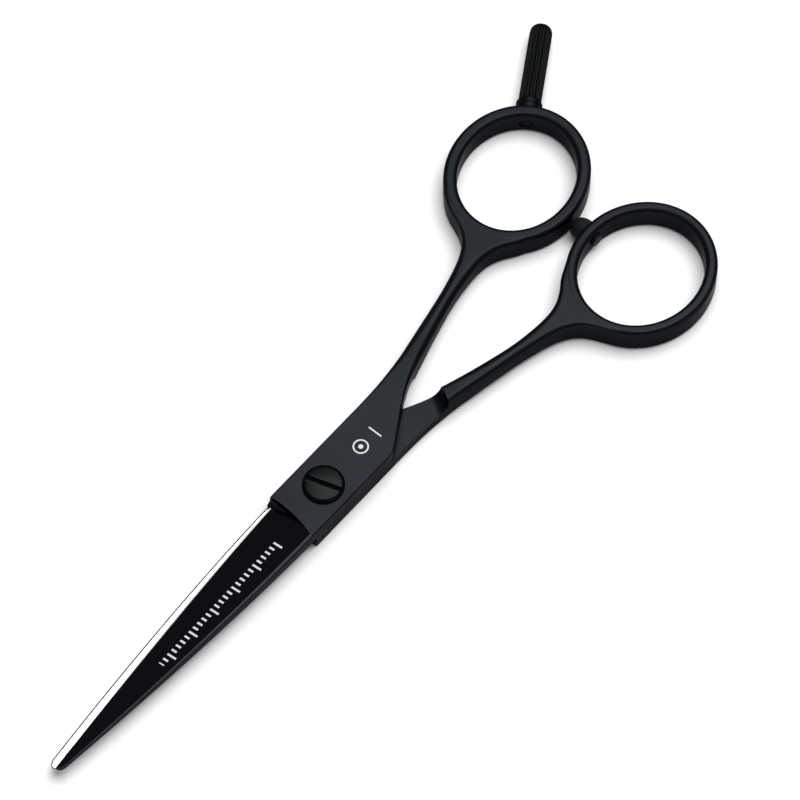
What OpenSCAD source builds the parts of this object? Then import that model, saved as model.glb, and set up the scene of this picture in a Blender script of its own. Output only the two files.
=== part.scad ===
// Hair cutting shears: two crossing halves on a slotted tension screw,
// with oval finger rings, a screwed-in finger rest and a ring bumper.
//
// Origin: on the pivot axis, in the plane the shears lie on.
// +X runs toward the blade tips, +Y toward the thumb ring, +Z out of the screw head.

/* [Blades] */
// Length from the pivot to the blade tips
blade_reach = 62.7; // [50:0.1:80]
// Distance from the pivot to the heel of the cutting edges
heel_distance = 7; // [6:0.1:9]
// Half of the width over the pivot block
block_half_width = 4.85; // [4.5:0.05:6]
// Distance from the blades' middle line to the cutting edge at the heel
edge_half_width = 4.45; // [3.8:0.05:5.2]
// Distance from the blades' middle line to the spine at the tip
tip_half_width = 1.2; // [0.8:0.05:2]
// Blade thickness at the tip
tip_thickness = 0.8; // [0.6:0.05:1.2]
// Height of the honed bevel along the cutting edge
bevel_height = 0.42; // [0.3:0.01:0.6]
// Depth of the hollow ground into each inner face
hollow_depth = 0.1; // [0.05:0.01:0.2]

/* [Body] */
// Thickness over both halves at the pivot, and height of the rings
body_thickness = 5.1; // [4.6:0.1:6.5]
// Running gap between the two halves
running_gap = 0.06; // [0.04:0.01:0.15]
// How far the pivot sits from the middle line, toward the thumb ring
pivot_offset = 0.25; // [0:0.05:0.6]
// Radius of the fillet where each shank rises from its half-thickness block
relief_radius = 2.2; // [1.5:0.1:3]

/* [Rings] */
// Distance from the middle line to the centre of each ring
ring_offset = 13.35; // [12.8:0.05:15]
// Distance from the pivot back to the centre of the finger ring
finger_ring_reach = 64; // [58:0.1:75]
// How much nearer to the pivot the thumb ring is centred
thumb_ring_lead = 0.8; // [-1:0.1:2]
// Long inner width of the finger ring
finger_hole_length = 22.1; // [20:0.1:24]
// Short inner width of the finger ring
finger_hole_width = 19.1; // [17:0.1:20.5]
// Band width of the finger ring
finger_band = 2.24; // [1.8:0.02:2.6]
// How far the finger ring's long axis turns from the blades' direction
finger_ring_tilt = 15; // [0:1:20]
// Long inner width of the thumb ring
thumb_hole_length = 22.1; // [20:0.1:24]
// Short inner width of the thumb ring
thumb_hole_width = 19.6; // [17:0.1:20.5]
// Band width of the thumb ring
thumb_band = 2; // [1.8:0.02:2.6]
// How far the thumb ring's long axis turns from the blades' direction
thumb_ring_tilt = 1; // [0:1:20]
// Rounding of the rings' edges
ring_rounding = 0.8; // [0.4:0.05:0.95]

/* [Pivot] */
// Diameter of the screw head
head_diameter = 6.8; // [6:0.1:8]
// Thickness of the screw head
head_thickness = 0.6; // [0.5:0.05:1]
// Width of the chamfer around the screw head
head_chamfer = 0.5; // [0.2:0.05:0.8]
// Width of the screwdriver slot
slot_width = 0.85; // [0.6:0.05:1.2]
// Depth of the screwdriver slot
slot_depth = 0.42; // [0.2:0.02:0.45]
// Direction of the slot in plan
slot_angle = 108; // [0:1:179]
// Diameter of the screw's plain shoulder
shoulder_diameter = 3.6; // [3:0.1:4]
// Diameter of the screw's thread
thread_diameter = 3; // [2.5:0.1:3.4]
// Wall of the bush lining the upper half's bore
bush_wall = 0.36; // [0.25:0.01:0.6]
// Depth of the pocket under the screw head
pocket_depth = 0.95; // [0.8:0.05:1.1]
// Diameter of the pocket under the screw head
pocket_diameter = 5.8; // [5.4:0.1:6.2]
// Thickness of the washer in the pocket
washer_thickness = 0.3; // [0.2:0.05:0.4]
// Thickness of the spring washer's sheet
spring_sheet = 0.25; // [0.15:0.01:0.35]
// Diameter of the thin washer between the halves
ride_diameter = 7.2; // [6.4:0.1:8]
// Thickness of the thin washer between the halves
ride_thickness = 0.2; // [0.15:0.01:0.3]
// Diameter of the lock nut in the underside
nut_diameter = 6.4; // [5.6:0.1:7]
// Thickness of the lock nut
nut_thickness = 0.9; // [0.7:0.05:1.1]

/* [Finger rest] */
// Direction of the rest from the centre of the finger ring
rest_angle = 211.7; // [200:0.1:225]
// Diameter of the fluted rest
rest_diameter = 3.8; // [3.2:0.1:4.2]
// Length of the fluted rest
rest_length = 15.4; // [10:0.1:18]
// Number of flutes around the rest
flute_count = 20; // [14:1:24]
// Radius of each flute
flute_radius = 0.25; // [0.15:0.01:0.28]
// Rounding of the rest's tip
rest_tip_rounding = 1.6; // [0.8:0.1:1.8]
// Diameter of the collar against the ring
collar_diameter = 4.4; // [4:0.1:4.8]
// Thickness of the collar
collar_thickness = 1.8; // [0.8:0.1:2.2]
// Diameter of the threaded stud
stud_diameter = 2.4; // [1.8:0.1:2.6]

/* [Bumper] */
// How far behind the thumb ring's centre the bumper sits
bumper_shift = 0.4; // [-1:0.1:1]
// Diameter of the bumper's dome
bumper_diameter = 4; // [3:0.1:4.6]
// Diameter of the bumper's neck through the ring
bumper_neck = 1.8; // [1.2:0.1:2.2]
// Diameter of the knob that keeps the bumper in the ring
bumper_knob = 2.3; // [1.8:0.1:2.8]

/* [Hidden] */
$fn = 96;

// Distance that a cut runs past a face, running clearance of round fits, and loose fit of washers
past = 0.1;
fit = 0.03;
washer_fit = 0.08;

// Heights of the stack at the pivot
mid_height = body_thickness / 2;
upper_face = mid_height + running_gap / 2;
lower_face = mid_height - running_gap / 2;
pocket_floor = body_thickness - pocket_depth;
face_gap = 0.01;
head_bottom = body_thickness + 4 * face_gap;
head_top = head_bottom + head_thickness;
ride_bottom = mid_height - ride_thickness / 2;
ride_top = mid_height + ride_thickness / 2;

// Middle line of the blades, and places of the thumb ring and the bumper
middle_y = -pivot_offset;
thumb_ring_reach = finger_ring_reach - thumb_ring_lead;
bumper_reach = thumb_ring_reach + bumper_shift;

// Where the drawn outlines were laid out, and how they follow the sizes above
drawn_reach = 64;
drawn_offset = 13.35;
drawn_half_width = 4.85;
drawn_front = 12;
drawn_ring_front = 34;
drawn_block_back = 15;

// Outline of a half on the side facing the other ring, from the ring to the block
inner_outline = [[-57, -3.3], [-54, -4.65], [-52, -5.95], [-50, -6.85], [-48, -7.2], [-45, -7.1],
    [-40, -6.4], [-35, -5.2], [-30, -3.85], [-25, -2.4], [-22, -1.2], [-19, 0.35], [-16.5, 1.85],
    [-14, 3.35], [-12, 4.5], [-11.2, 4.8], [-10.4, 4.85], [-9, 4.85]];
// Outline of a half on its outward side, from the ring to the block
outer_outline = [[-57, -22.3], [-54, -20.6], [-52.5, -18.9], [-51.5, -17.2], [-50.8, -15.5],
    [-50, -13.9], [-49, -12.6], [-47.5, -11.4], [-45, -10.25], [-40, -8.85], [-35, -7.8],
    [-30, -6.8], [-25, -5.75], [-20, -5.1], [-15, -4.87], [-10.4, -4.85], [-9, -4.85]];
// How far the top and underside draw in along the shank
height_inset = [[-57, 0.03], [-52, 0.03], [-48, 0.12], [-44, 0.3], [-38, 0.4], [-32, 0.33],
    [-26, 0.1], [-22, 0.01], [-20, 0], [-9, 0]];
// Rounding of the shank's long edges
edge_rounding = [[-57, 0.7], [-50, 0.9], [-46, 1.1], [-40, 1.17], [-34, 1.2], [-28, 1.1],
    [-24, 0.75], [-20, 0.5], [-16, 0.38], [-12, 0.3], [-9, 0.3]];
// Stations of the shank's sections
shank_stations = [-57, -56, -55, -54, -53.1, -52.4, -51.8, -51.2, -50.6, -50, -49.3, -48.5, -47.5,
    -46.2, -44.6, -43, -41, -39, -37, -35, -33, -31, -29, -27, -25, -23.5, -22, -20.5, -19, -17.5,
    -16, -14.5, -13, -12, -11.4, -10.9, -10.4];
corner_steps = 4;

// Width that the blunt point keeps
blunt_width = 0.6;

// How far the curved step at the block's front can run past the heel
step_run = 1.6;

// Index of the span of a list of [place, value] points that holds a place
function span(points, place, i = 0) =
    (i + 2 >= len(points) || place < points[i + 1][0]) ? i : span(points, place, i + 1);

// Slope of a list of points at one of them
function slope(points, i) =
    let (a = max(i - 1, 0), b = min(i + 1, len(points) - 1))
    (points[b][1] - points[a][1]) / (points[b][0] - points[a][0]);

// Value of the smooth curve through a list of points
function curve(points, place) =
    let (
        i = span(points, place),
        width = points[i + 1][0] - points[i][0],
        f = min(max((place - points[i][0]) / width, 0), 1),
        g = 1 - f
    )
    points[i][1] * (1 + 2 * f) * g * g + points[i + 1][1] * (3 - 2 * f) * f * f
    + slope(points, i) * width * f * g * g - slope(points, i + 1) * width * f * f * g;

// Share of the way between two places
function share(place, from, to) = min(max((place - from) / (to - from), 0), 1);

// Place of a drawn station on a half whose ring is centred at a given reach
function laid(place, reach) = place < -drawn_front ?
    (place + drawn_front) * (reach - drawn_front) / (drawn_reach - drawn_front) - drawn_front : place;

// Sideways position of an outline point, following the ring offset and the block width
function spread(points, place) =
    let (f = share(place, -drawn_block_back, -drawn_ring_front), v = curve(points, place))
    v * (f * ring_offset / drawn_offset + (1 - f) * block_half_width / drawn_half_width);

// Points along a corner's arc in the plane of a section
function corner(x, across, up, r, from, to) =
    [for (k = [0:corner_steps]) let (a = from + (to - from) * k / corner_steps)
        [x, across + r * cos(a), up + r * sin(a)]];

// Points of one section: a rounded four-sided shape whose top slopes down to its low side
// low_lean is how far the low side leans outward for each unit it goes down, and land is the
// width of the flat strip that the top keeps beside its high corner
function section(x, low, high, bottom, top_low, top_high, rounding,
        low_lean = 0, low_rounding = body_thickness, land = 0) =
    let (
        widest = 0.49,
        r = min(rounding, widest * (high - low), widest * (top_low - bottom)),
        q = min(r, low_rounding),
        slope_angle = atan2(top_high - r - top_low + q, high - low - r - q - land),
        lean_angle = atan(low_lean)
    )
    concat(
        corner(x, high - r, bottom + r, r, -90, 0),
        corner(x, high - r, top_high - r, r, 0, 90),
        top_high > top_low ? corner(x, high - r - land, top_high - r, r, 90, 90 + slope_angle) : [],
        corner(x, low + q, top_low - q, q, 90 + slope_angle, 180 - lean_angle),
        corner(x, low + q - low_lean * (top_low - bottom - 2 * q), bottom + q, q, 180 - lean_angle, 270)
    );

// Solid through a list of sections with equal numbers of points
module loft(sections) {
    n = len(sections[0]);
    m = len(sections);
    polyhedron(
        points = [for (s = sections) for (p = s) p],
        faces = concat(
            [[for (k = [0:n - 1]) k]],
            [for (i = [0:m - 2]) for (k = [0:n - 1]) [i * n + k, (i + 1) * n + k, (i + 1) * n + (k + 1) % n]],
            [for (i = [0:m - 2]) for (k = [0:n - 1]) [i * n + k, (i + 1) * n + (k + 1) % n, i * n + (k + 1) % n]],
            [[for (k = [n - 1:-1:0]) (m - 1) * n + k]]
        )
    );
}

// Shank and block of a half, full thickness, with the block's long sides running to the heel
module shank_and_block(reach) {
    front = heel_distance + step_run;
    loft(concat(
        [for (x = shank_stations) let (inset = curve(height_inset, x))
            section(laid(x, reach), spread(outer_outline, x), spread(inner_outline, x), inset,
                body_thickness - inset, body_thickness - inset, curve(edge_rounding, x))],
        [section(front, -block_half_width, block_half_width, 0, body_thickness, body_thickness,
            curve(edge_rounding, front))]
    ));
}

// How far the ridge lies below the block's top at the heel
heel_drop = 0.02;

// Share of the blade's length from the heel, and the widths and thickness there
function along(x) = share(x, heel_distance, blade_reach);
function spine_at(x) =
    tip_half_width + (block_half_width - tip_half_width) * (1 - pow(along(x), 1.6));
function edge_at(x) = edge_half_width * (1 - pow(along(x), 1.3));
function thickness_at(x) =
    tip_thickness + (body_thickness - heel_drop - upper_face - tip_thickness) * (1 - pow(along(x), 1.2));
// Rounding of the spine toward the point, which stays a little blunt
function point_at(x) =
    let (f = share(x, blade_reach - tip_half_width, blade_reach))
    (tip_half_width - blunt_width) * (1 - sqrt(max(1 - f * f, 0)));

// Section of the blade: a wedge with a narrow flat ridge at the spine and a honed bevel at the edge
// Toward the point the bevel climbs, so that the face above it never gets too steep
function blade_section(x) =
    let (
        bevel_lean = 0.95 - 0.45 * pow(along(x), 4),
        bevel_edge = 0.04,
        steepest = 1.5,
        rounding = 0.24 - 0.15 * along(x),
        land = 0.32 * (1 - 0.8 * along(x)),
        bevel = bevel_height * (1 - 0.4 * along(x)),
        low = -edge_at(x) + bevel_lean * bevel,
        high = spine_at(x) - point_at(x),
        top = upper_face + thickness_at(x),
        bevel_top = max(upper_face + bevel, top - steepest * (high - low - land - 2 * rounding))
    )
    section(x, low, high, 0, bevel_top, top, rounding, bevel_lean, bevel_edge, land);

// Stations along the blade, closer together where the point rounds off
blade_steps = 15;
point_steps = 5;
blade_start = heel_distance + 0.2;
point_start = blade_reach - tip_half_width;
blade_stations = concat(
    [for (k = [0:blade_steps]) blade_start + (point_start - blade_start) * k / blade_steps],
    [for (k = [1:point_steps]) point_start + tip_half_width * sin(90 * k / point_steps)]
);

// Blade of a half, from inside the block to the blunt point
module blade() {
    loft([for (x = concat([heel_distance - 2], blade_stations)) blade_section(x)]);
}

// Cut for the narrow chamfer between the spine and the inner face
module rim_chamfer() {
    wide = 0.28;
    deep = 0.2;
    clear = 0.4;
    loft([for (x = concat([heel_distance - 1], blade_stations, [blade_reach + past]))
        let (start = spine_at(x) - point_at(x) - wide)
        [
            [x, start, upper_face - clear],
            [x, start + wide + clear, upper_face - clear],
            [x, start + wide + clear, upper_face + deep * (wide + clear) / wide],
            [x, start, upper_face]
        ]]);
}

// Shallow hollow between the ride lines of a blade's inner face
module blade_hollow() {
    ride_line = 0.55;
    start = heel_distance + 6;
    end = blade_reach - 2;
    stations = 12;
    steps = 6;
    end_depth = 0.1;
    swell = 1.6;
    sliver = 0.001;
    loft([for (k = [0:stations])
        let (
            x = start + (end - start) * k / stations,
            low = -edge_at(x) + ride_line,
            high = spine_at(x) - ride_line,
            depth = hollow_depth * min(end_depth + swell * sin(180 * k / stations), 1)
        )
        concat(
            [[x, low, upper_face - 1], [x, high, upper_face - 1]],
            [for (j = [0:steps]) let (f = 1 - j / steps)
                [x, low + (high - low) * f, upper_face + depth * 4 * f * (1 - f) + sliver]]
        )
    ]);
}

// Solid through a stack of ovals, each row giving its offset from the mid band and its height
module oval_stack(long, short, rows) {
    steps = 72;
    loft([for (row = rows)
        [for (k = [0:steps - 1]) let (a = 360 * k / steps)
            [(long + row[0]) * cos(a), (short + row[0]) * sin(a), row[1]]]]);
}

// Rounding that fits on a ring's band
function rim_rounding(band) = min(ring_rounding, 0.45 * band);

// Oval ring before its hole is cut, with a rounded rim
module oval_blank(long, short, band) {
    r = rim_rounding(band);
    oval_stack(long, short, concat(
        [for (k = [0:corner_steps]) let (a = -90 + 90 * k / corner_steps)
            [band / 2 - r + r * cos(a), r + r * sin(a)]],
        [for (k = [0:corner_steps]) let (a = 90 * k / corner_steps)
            [band / 2 - r + r * cos(a), body_thickness - r + r * sin(a)]]
    ));
}

// Oval finger hole with rounded edges
module oval_hole(long, short, band) {
    r = rim_rounding(band);
    wall = -band / 2;
    first = 12;
    flare = [for (k = [0:corner_steps]) let (a = first + (90 - first) * k / corner_steps)
        [wall + r - r * sin(a), r - r * cos(a)]];
    oval_stack(long, short, concat(
        [[wall + r + past, -past]],
        flare,
        [for (k = [corner_steps:-1:0]) [flare[k][0], body_thickness - flare[k][1]]],
        [[wall + r + past, body_thickness + past]]
    ));
}

// Cut that leaves the block and blade at half thickness and rises in a fillet to the shank
module relief_cut() {
    wide = 2.5 * blade_reach;
    fillet_back = 23.5 * block_half_width / drawn_half_width;
    fillet_side = 2.35;
    fillet_turn = 28.8;
    translate([-fillet_back, -fillet_side, 0])
        rotate([0, 0, fillet_turn]) {
            translate([0, -wide / 2, -past]) cube([2 * blade_reach, wide, upper_face + past]);
            translate([0, wide / 2, upper_face - relief_radius])
                rotate([90, 0, 0]) cylinder(r = relief_radius, h = wide);
            translate([-relief_radius, -wide / 2, upper_face - relief_radius - body_thickness])
                cube([blade_reach, wide, body_thickness]);
        }
}

// Cut that shapes the curved step at the front of the block, and clears the block's foot beyond it
module step_cut() {
    sweep = 20.8;
    foot = 1.4;
    centre_side = 2.25;
    start = heel_distance - 0.2;
    translate([heel_distance, -ring_offset, -past])
        cube([body_thickness, 2 * ring_offset, upper_face + bevel_height + 2 * past]);
    translate([start + sweep, -centre_side, upper_face + bevel_height])
        rotate_extrude() {
            square([sweep - foot, body_thickness]);
            translate([0, foot]) square([sweep, body_thickness]);
            translate([sweep - foot, foot]) circle(foot);
        }
}

// One forged half about the middle line, as the upper half lies
module forged_half(reach, hole_length, hole_width, band, tilt) {
    long = (hole_length + band) / 2;
    short = (hole_width + band) / 2;
    difference() {
        union() {
            difference() {
                shank_and_block(reach);
                step_cut();
            }
            blade();
            translate([-reach, -ring_offset, 0])
                rotate([0, 0, tilt]) oval_blank(long, short, band);
        }
        translate([-reach, -ring_offset, 0])
            rotate([0, 0, tilt]) oval_hole(long, short, band);
        relief_cut();
        rim_chamfer();
        blade_hollow();
    }
}

// Distance from a ring's centre to its mid band in a direction off the long axis
function oval_distance(long, short, angle) =
    1 / sqrt(pow(cos(angle) / long, 2) + pow(sin(angle) / short, 2));

finger_long = (finger_hole_length + finger_band) / 2;
finger_short = (finger_hole_width + finger_band) / 2;
rest_mid = oval_distance(finger_long, finger_short, rest_angle - 180 - finger_ring_tilt);
seat_depth = 0.2;
rest_seat = rest_mid + finger_band / 2 - seat_depth;
rest_start = rest_seat + collar_thickness;
stud_length = 0.75 * rest_length;
stud_stand = 0.1;

// Puts a piece on the finger rest's axis, its own +Z pointing away from the ring's centre
module on_rest_axis() {
    translate([-finger_ring_reach, middle_y - ring_offset, mid_height])
        rotate([0, 0, rest_angle])
            rotate([0, 90, 0]) children();
}

thumb_short = (thumb_hole_width + thumb_band) / 2;
thumb_ring_y = middle_y + ring_offset;
bumper_sink = 0.15;
bumper_seat = thumb_ring_y - thumb_short - thumb_band / 2 + bumper_sink;
bumper_exit = thumb_ring_y - thumb_short + thumb_band / 2;
finger_tilt_top = sqrt(pow((finger_long + finger_band / 2) * sin(finger_ring_tilt), 2)
    + pow((finger_short + finger_band / 2) * cos(finger_ring_tilt), 2));
bumper_clearance = 0.05;
bumper_tip = middle_y - ring_offset + finger_tilt_top + bumper_clearance;

// Puts a piece on the bumper's axis, its own +Z pointing at the finger ring
module on_bumper_axis() {
    translate([-bumper_reach, bumper_seat, mid_height])
        rotate([90, 0, 0]) children();
}

module finger_half() {
    color("dimgray")
        difference() {
            translate([0, middle_y, 0])
                forged_half(finger_ring_reach, finger_hole_length, finger_hole_width, finger_band,
                    finger_ring_tilt);
            cylinder(r = shoulder_diameter / 2 + bush_wall + fit, h = body_thickness);
            translate([0, 0, pocket_floor])
                cylinder(d = pocket_diameter, h = pocket_depth + past);
            cylinder(r = ride_diameter / 2 + 2 * fit, h = ride_top + face_gap);
            on_rest_axis() {
                translate([0, 0, rest_seat - 2 * finger_band])
                    cylinder(r = stud_diameter / 2 + fit, h = 4 * finger_band);
                translate([0, 0, rest_seat - face_gap])
                    cylinder(r = collar_diameter / 2 + fit, h = 2 * finger_band);
            }
        }
}

module thumb_half() {
    color("slategray")
        difference() {
            translate([0, middle_y, body_thickness])
                rotate([180, 0, 0])
                    forged_half(thumb_ring_reach, thumb_hole_length, thumb_hole_width, thumb_band,
                        thumb_ring_tilt);
            translate([0, 0, -past]) cylinder(r = thread_diameter / 2 + fit, h = body_thickness);
            translate([0, 0, -past])
                cylinder(r = nut_diameter / 2 + fit, h = nut_thickness + fit + past);
            translate([0, 0, ride_bottom - face_gap])
                cylinder(r = ride_diameter / 2 + 2 * fit, h = body_thickness);
            on_bumper_axis() {
                translate([0, 0, -2 * thumb_band]) cylinder(r = bumper_neck / 2 + fit, h = 3 * thumb_band);
                translate([0, 0, -2 * face_gap]) cylinder(r = bumper_diameter / 2 + fit, h = thumb_band);
            }
        }
}

module pivot_screw() {
    end_chamfer = 0.2;
    chamfer_height = 0.55 * head_thickness;
    color("gray")
        difference() {
            rotate_extrude()
                polygon([
                    [0, 0],
                    [thread_diameter / 2 - end_chamfer, 0],
                    [thread_diameter / 2, end_chamfer],
                    [thread_diameter / 2, ride_bottom],
                    [shoulder_diameter / 2, ride_bottom],
                    [shoulder_diameter / 2, head_bottom],
                    [head_diameter / 2, head_bottom],
                    [head_diameter / 2, head_top - chamfer_height],
                    [head_diameter / 2 - head_chamfer, head_top],
                    [0, head_top]
                ]);
            translate([0, 0, head_top - slot_depth])
                rotate([0, 0, slot_angle])
                    translate([-head_diameter, -slot_width / 2, 0])
                        cube([2 * head_diameter, slot_width, head_thickness]);
        }
}

module head_washer() {
    color("ivory")
        translate([0, 0, pocket_floor + face_gap])
            difference() {
                cylinder(r = pocket_diameter / 2 - washer_fit, h = washer_thickness);
                translate([0, 0, -past])
                    cylinder(r = shoulder_diameter / 2 + washer_fit, h = washer_thickness + 2 * past);
            }
}

module spring_washer() {
    bottom = pocket_floor + washer_thickness + 2 * face_gap;
    top = head_bottom - face_gap;
    inner = shoulder_diameter / 2 + 2 * washer_fit;
    outer = pocket_diameter / 2 - 2 * washer_fit;
    color("silver")
        rotate_extrude()
            polygon([
                [inner, top - spring_sheet],
                [outer, bottom],
                [outer, bottom + spring_sheet],
                [inner, top]
            ]);
}

module pivot_bush() {
    color("peru")
        translate([0, 0, ride_top + 2 * face_gap])
            difference() {
                cylinder(r = shoulder_diameter / 2 + bush_wall, h = pocket_floor - ride_top - 3 * face_gap);
                translate([0, 0, -past])
                    cylinder(r = shoulder_diameter / 2 + fit, h = body_thickness);
            }
}

module ride_washer() {
    color("white")
        translate([0, 0, ride_bottom])
            difference() {
                cylinder(d = ride_diameter, h = ride_thickness);
                translate([0, 0, -past])
                    cylinder(r = shoulder_diameter / 2 + washer_fit, h = ride_thickness + 2 * past);
            }
}

module lock_nut() {
    key_hole_radius = 0.45;
    key_hole_place = (thread_diameter + nut_diameter) / 4;
    color("darkgray")
        difference() {
            cylinder(d = nut_diameter, h = nut_thickness);
            translate([0, 0, -past])
                cylinder(r = thread_diameter / 2 + fit, h = nut_thickness + 2 * past);
            for (side = [-1, 1])
                translate([side * key_hole_place, 0, -past])
                    cylinder(r = key_hole_radius, h = nut_thickness / 2 + past);
        }
}

module rest_stud() {
    color("silver")
        on_rest_axis()
            translate([0, 0, rest_mid - finger_band / 2 + stud_stand])
                cylinder(d = stud_diameter, h = stud_length);
}

module rest_sleeve() {
    radius = rest_diameter / 2;
    flute_place = radius + 0.45 * flute_radius;
    flute_start = 0.5;
    color("dimgray")
        on_rest_axis()
            translate([0, 0, rest_start])
                difference() {
                    rotate_extrude() {
                        square([radius, rest_length - rest_tip_rounding]);
                        square([radius - rest_tip_rounding, rest_length]);
                        intersection() {
                            square([radius, rest_length]);
                            translate([radius - rest_tip_rounding, rest_length - rest_tip_rounding])
                                circle(rest_tip_rounding);
                        }
                    }
                    translate([0, 0, -past])
                        cylinder(r = stud_diameter / 2 + fit, h = stud_length - collar_thickness);
                    for (k = [0:flute_count - 1])
                        rotate([0, 0, 360 * k / flute_count])
                            translate([flute_place, 0, flute_start])
                                cylinder(r = flute_radius, h = rest_length, $fn = 24);
                }
}

module rest_collar() {
    color("gray")
        on_rest_axis()
            translate([0, 0, rest_seat])
                difference() {
                    cylinder(d = collar_diameter, h = collar_thickness - face_gap);
                    translate([0, 0, -past])
                        cylinder(r = stud_diameter / 2 + fit, h = collar_thickness + 2 * past);
                }
}

module bumper() {
    reach = bumper_seat - bumper_tip;
    wall = bumper_exit - bumper_seat;
    straight = 0.6;
    knob_gap = 0.12;
    knob_thickness = 0.42;
    color("black")
        on_bumper_axis()
            rotate_extrude() {
                square([bumper_diameter / 2, straight]);
                intersection() {
                    translate([0, straight]) square([bumper_diameter, reach]);
                    polygon(concat(
                        [[0, 0]],
                        [for (a = [0:6:90])
                            [bumper_diameter / 2 * cos(a), straight + (reach - straight) * sin(a)]]
                    ));
                }
                translate([0, -wall - knob_gap]) square([bumper_neck / 2, wall + 2 * knob_gap]);
                translate([0, -wall - knob_gap - knob_thickness]) square([bumper_knob / 2, knob_thickness]);
            }
}

finger_half();
thumb_half();
pivot_screw();
head_washer();
spring_washer();
pivot_bush();
ride_washer();
lock_nut();
rest_stud();
rest_sleeve();
rest_collar();
bumper();
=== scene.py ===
# %% [markdown]
# # Hair cutting shears
# A pair of hairdressing shears is two forged halves that cross on one screw.
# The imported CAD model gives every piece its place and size. This lesson builds finer visual
# pieces in the same places, gives each a worked metal or rubber finish, and lights the pair
# like a tool on a pale table.

# %% Load the frame
import math

import bmesh
import bpy
from mathutils import Matrix, Vector


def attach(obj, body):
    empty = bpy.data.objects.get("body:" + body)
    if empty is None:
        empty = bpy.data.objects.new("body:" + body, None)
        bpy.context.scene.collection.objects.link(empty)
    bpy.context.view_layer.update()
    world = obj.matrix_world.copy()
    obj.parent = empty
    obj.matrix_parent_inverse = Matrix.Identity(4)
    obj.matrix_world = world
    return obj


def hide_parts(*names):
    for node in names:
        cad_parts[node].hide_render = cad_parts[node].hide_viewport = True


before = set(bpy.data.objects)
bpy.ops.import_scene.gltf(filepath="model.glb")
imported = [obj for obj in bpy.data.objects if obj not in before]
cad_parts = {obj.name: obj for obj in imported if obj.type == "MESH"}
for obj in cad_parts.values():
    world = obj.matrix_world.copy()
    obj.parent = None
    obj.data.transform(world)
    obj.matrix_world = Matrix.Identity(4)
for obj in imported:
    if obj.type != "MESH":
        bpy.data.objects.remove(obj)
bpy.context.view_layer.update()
MM = 0.001
print("CAD nodes:", sorted(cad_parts))

# %% [markdown]
# ## Camera, light and table
# The shears lie flat and are seen from above and beside the tips, through a long lens, so
# their outline hardly narrows with distance. Black metal is made by what it reflects: the flat
# tops mirror one large soft lamp and turn grey, and walls and slopes mirror a dim room.

# %% Camera
LOOK_AT = Vector((-21.5, -2.5, 0)) * MM
TOWARD_CAMERA = Vector((0.3647, 0.3101, 0.8780)).normalized()
CAMERA_DISTANCE = 799 * MM

camera_data = bpy.data.cameras.new("studio_camera")
camera_data.lens = 225
camera_data.sensor_width = 36
camera_data.clip_start = 0.01
camera = bpy.data.objects.new("studio_camera", camera_data)
bpy.context.scene.collection.objects.link(camera)
camera.location = LOOK_AT + TOWARD_CAMERA * CAMERA_DISTANCE
camera.rotation_euler = (-TOWARD_CAMERA).to_track_quat("-Z", "Y").to_euler()
bpy.context.scene.camera = camera
print("camera at", [round(v, 3) for v in camera.location])


# %% Table and lamps
def plain_material(name, color, roughness):
    material = bpy.data.materials.new(name)
    material.use_nodes = True
    shader = material.node_tree.nodes["Principled BSDF"]
    shader.inputs["Base Color"].default_value = (*color, 1)
    shader.inputs["Roughness"].default_value = roughness
    return material


def soft_lamp(name, place, size, power):
    data = bpy.data.lights.new(name, "AREA")
    data.shape = "DISK"
    data.size = size
    data.energy = power
    lamp = bpy.data.objects.new(name, data)
    bpy.context.scene.collection.objects.link(lamp)
    lamp.location = place
    lamp.rotation_euler = (LOOK_AT - Vector(place)).to_track_quat("-Z", "Y").to_euler()
    return lamp


TABLE_HALF = 3.0
table_mesh = bpy.data.meshes.new("table")
table_mesh.from_pydata(
    [(x * TABLE_HALF, y * TABLE_HALF, 0) for x, y in ((-1, -1), (1, -1), (1, 1), (-1, 1))], [], [(0, 1, 2, 3)]
)
table = bpy.data.objects.new("table", table_mesh)
bpy.context.scene.collection.objects.link(table)
table_mesh.materials.append(plain_material("pale_table", (0.93, 0.93, 0.93), 0.9))

LAMP_DIRECTION = Vector((-0.27, 0.02, 0.97)).normalized()
LAMP_DISTANCE, LAMP_SIZE = 1.1, 1.12
LAMP_RADIANCE = 4.4
lamp_power = LAMP_RADIANCE * math.pi * math.pi * (LAMP_SIZE / 2) ** 2
soft_lamp("key_lamp", LOOK_AT + LAMP_DIRECTION * LAMP_DISTANCE, LAMP_SIZE, lamp_power)

world = bpy.data.worlds.new("pale_room")
bpy.context.scene.world = world
world.use_nodes = True
world.node_tree.nodes["Background"].inputs["Color"].default_value = (1, 1, 1, 1)
world.node_tree.nodes["Background"].inputs["Strength"].default_value = 0.4
bpy.context.scene.view_settings.view_transform = "Standard"
print("table and key lamp are set")

# %% [markdown]
# ## Finishes
# Each finish is one material built from nodes. Three effects are shared, so each is a node
# group: grinding grain, which is noise stretched along the way the stone moved; handling
# marks, which are soft patches that change the gloss; and edge wear with a painted highlight,
# which finds the corners by comparing the true normal with one rounded over a small distance
# and lightens them, partly as worn coating and partly as painted edge highlight.


# %% Node helpers
def node(tree, kind, **settings):
    made = tree.nodes.new(kind)
    for key, value in settings.items():
        setattr(made, key, value)
    return made


def number(tree, operation, first, second=None, clamp=False):
    made = node(tree, "ShaderNodeMath", operation=operation, use_clamp=clamp)
    for socket, value in zip(made.inputs, (first, second)):
        if isinstance(value, bpy.types.NodeSocket):
            tree.links.new(value, socket)
        elif value is not None:
            socket.default_value = value
    return made.outputs[0]


def mapped(tree, value, low, high):
    made = node(tree, "ShaderNodeMapRange")
    tree.links.new(value, made.inputs["Value"])
    made.inputs["From Min"].default_value = low
    made.inputs["From Max"].default_value = high
    return made.outputs["Result"]


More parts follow.
